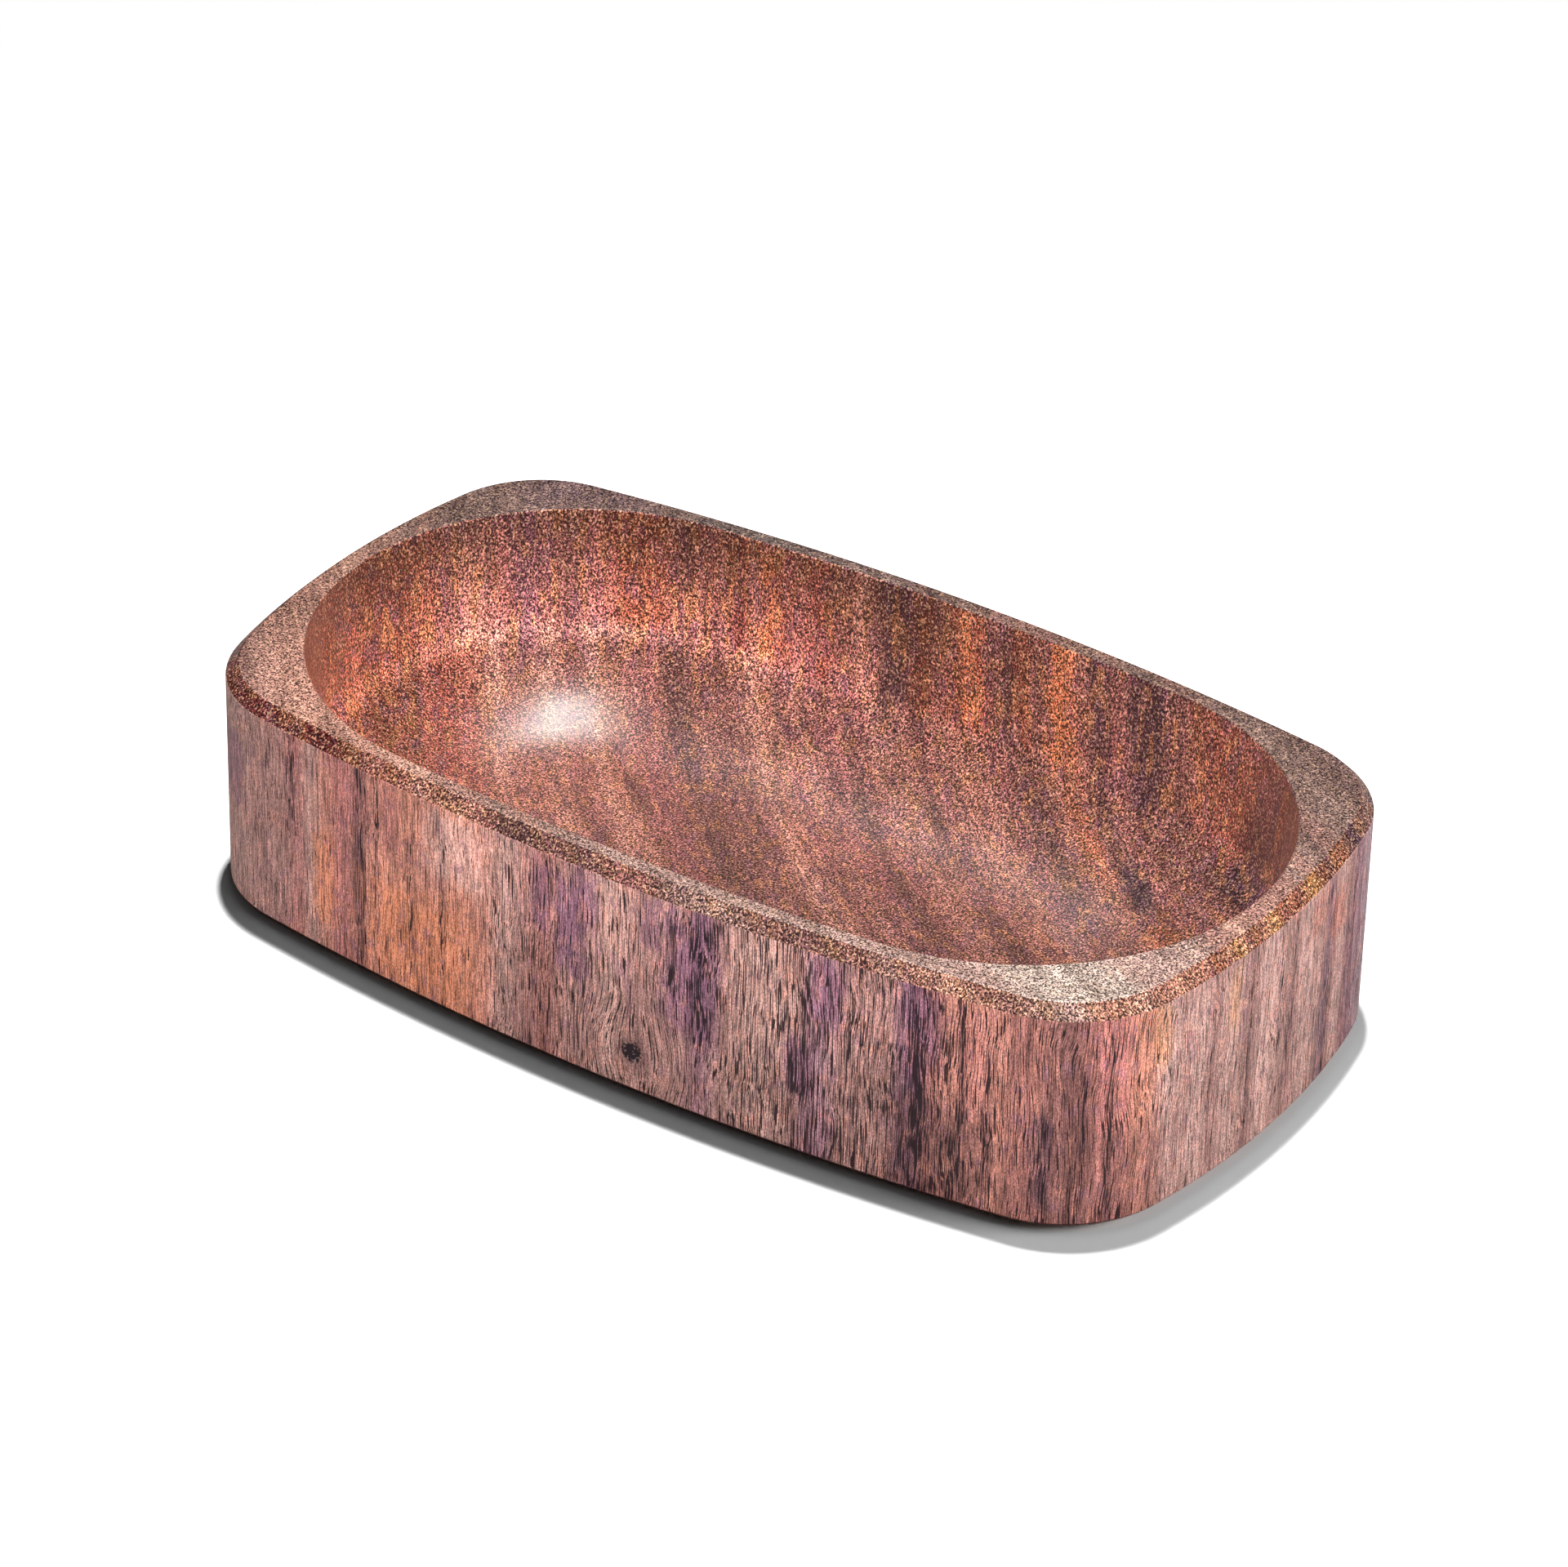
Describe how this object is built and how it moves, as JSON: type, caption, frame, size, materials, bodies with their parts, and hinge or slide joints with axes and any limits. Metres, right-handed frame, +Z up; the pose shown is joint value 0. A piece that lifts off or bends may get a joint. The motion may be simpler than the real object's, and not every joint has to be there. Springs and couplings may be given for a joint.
{
  "type": "wooden dish",
  "caption": "Small rectangular hardwood dish with bowed sides, round corners, a chamfered rim and a long round-ended bowl, on rubber pads.",
  "frame": {"origin": "on the table, below the middle of the dish", "axes": "+X along the dish, +Y across it towards the back, +Z up"},
  "size_m": [0.15, 0.0842, 0.0334],
  "materials": {
    "wood": "oiled, satin",
    "pad_rubber": "matt"
  },
  "bodies": {
    "root": {"dish_body": "wood", "pad_front_left": "pad_rubber", "pad_front_right": "pad_rubber", "pad_back_left": "pad_rubber", "pad_back_right": "pad_rubber"}
  },
  "joints": []
}
